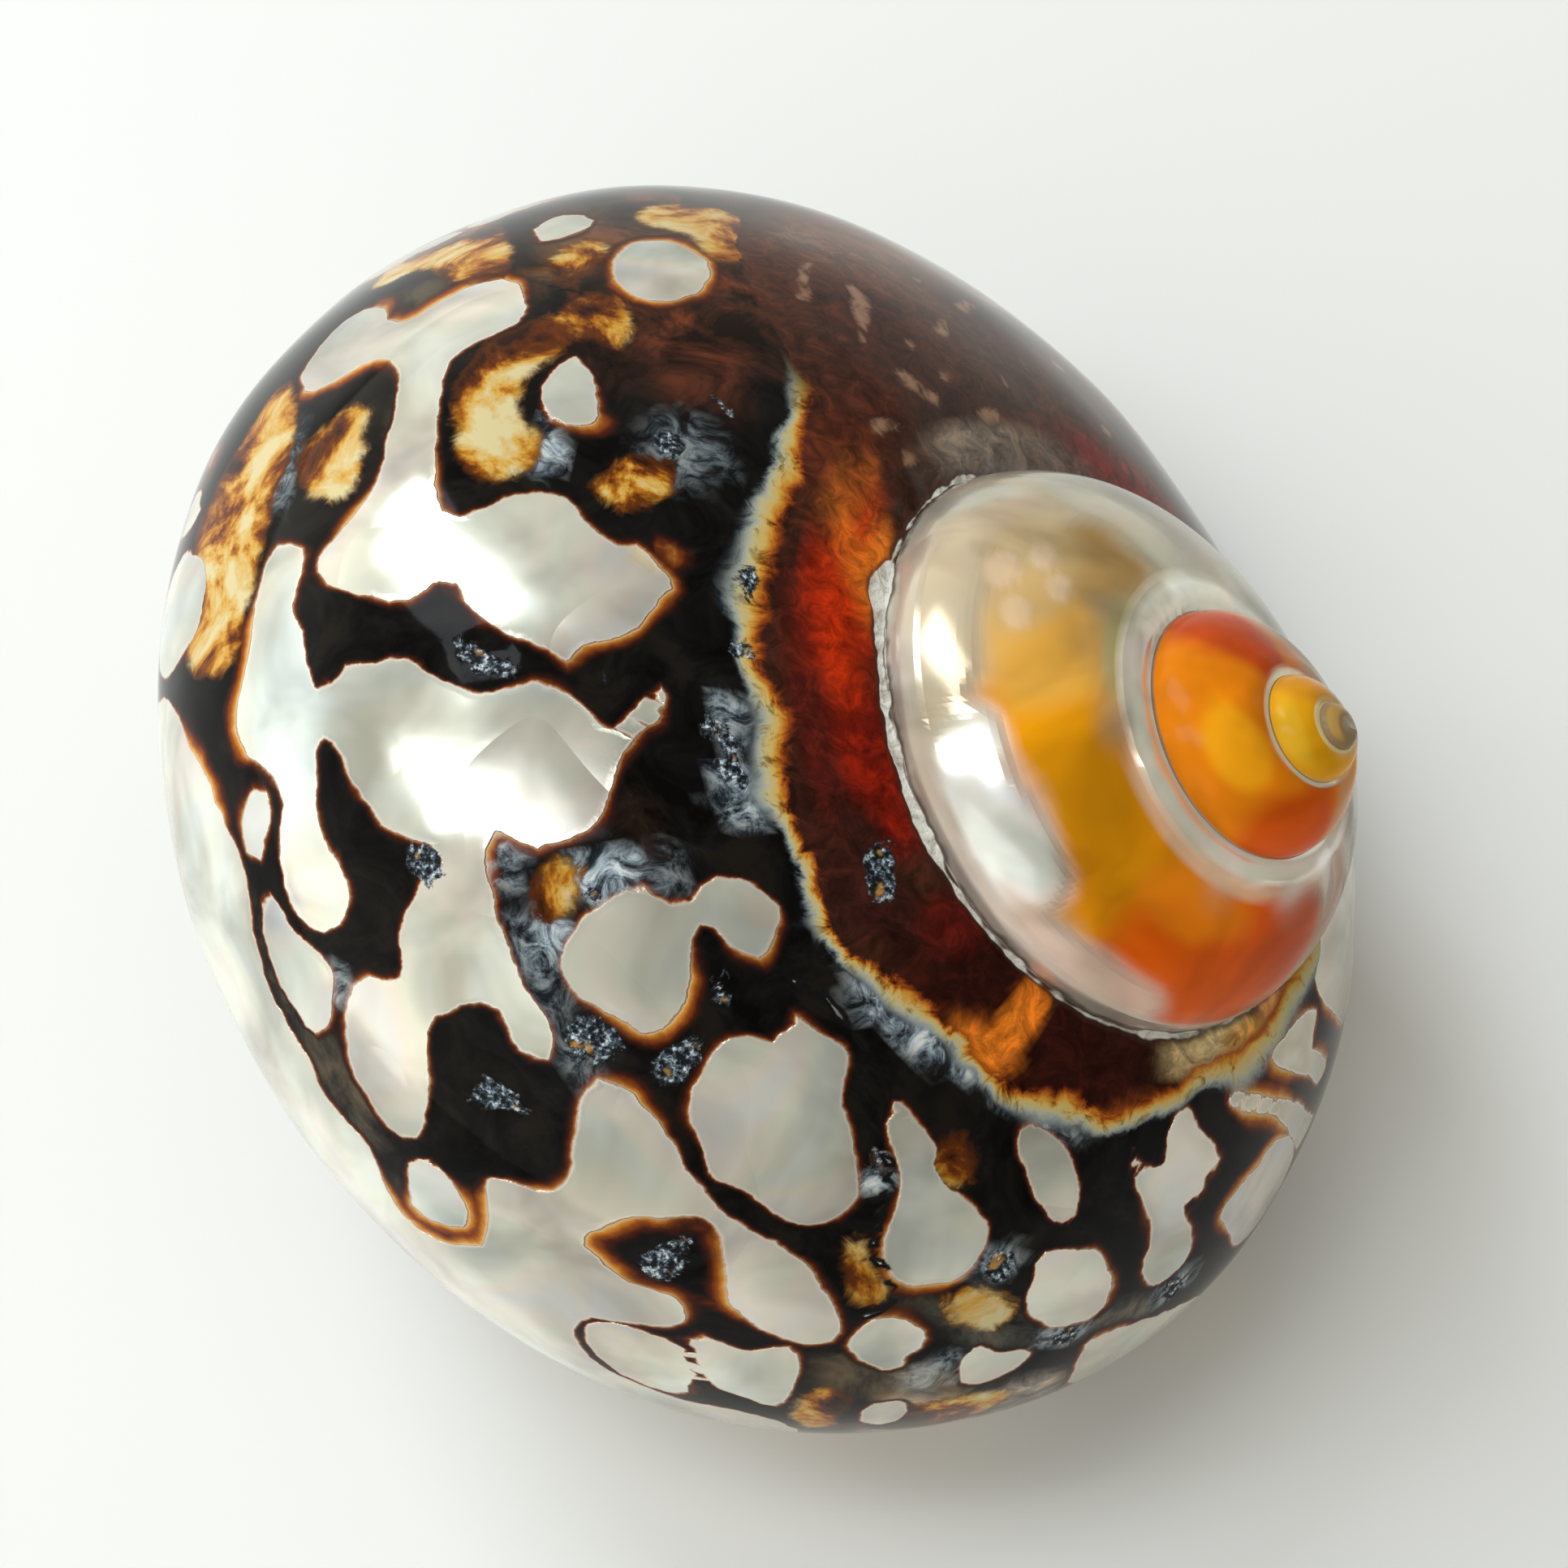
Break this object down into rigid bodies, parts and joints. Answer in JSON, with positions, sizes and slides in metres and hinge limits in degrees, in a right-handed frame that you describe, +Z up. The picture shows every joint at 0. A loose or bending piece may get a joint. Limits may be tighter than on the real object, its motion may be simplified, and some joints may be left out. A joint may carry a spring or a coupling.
{
  "type": "turban shell",
  "caption": "Polished globose sea snail shell with a short stepped spire and a wide flat-lipped mouth; a loose natural ornament that rests mouth down on a table or shelf.",
  "frame": {"origin": "centre of the bounding box's footprint, on the plane of the mouth's lip, which is the floor", "axes": "+Z up; the spire points towards +X and up at 45 degrees; the mouth faces down and its outer lip is towards +Y"},
  "size_m": [0.0624, 0.0732, 0.0429],
  "materials": {
    "shell": "polished black and red-brown outer layer with windows of silver-grey nacre, orange and pearl spire"
  },
  "bodies": {
    "root": {"shell": "shell"}
  },
  "joints": []
}
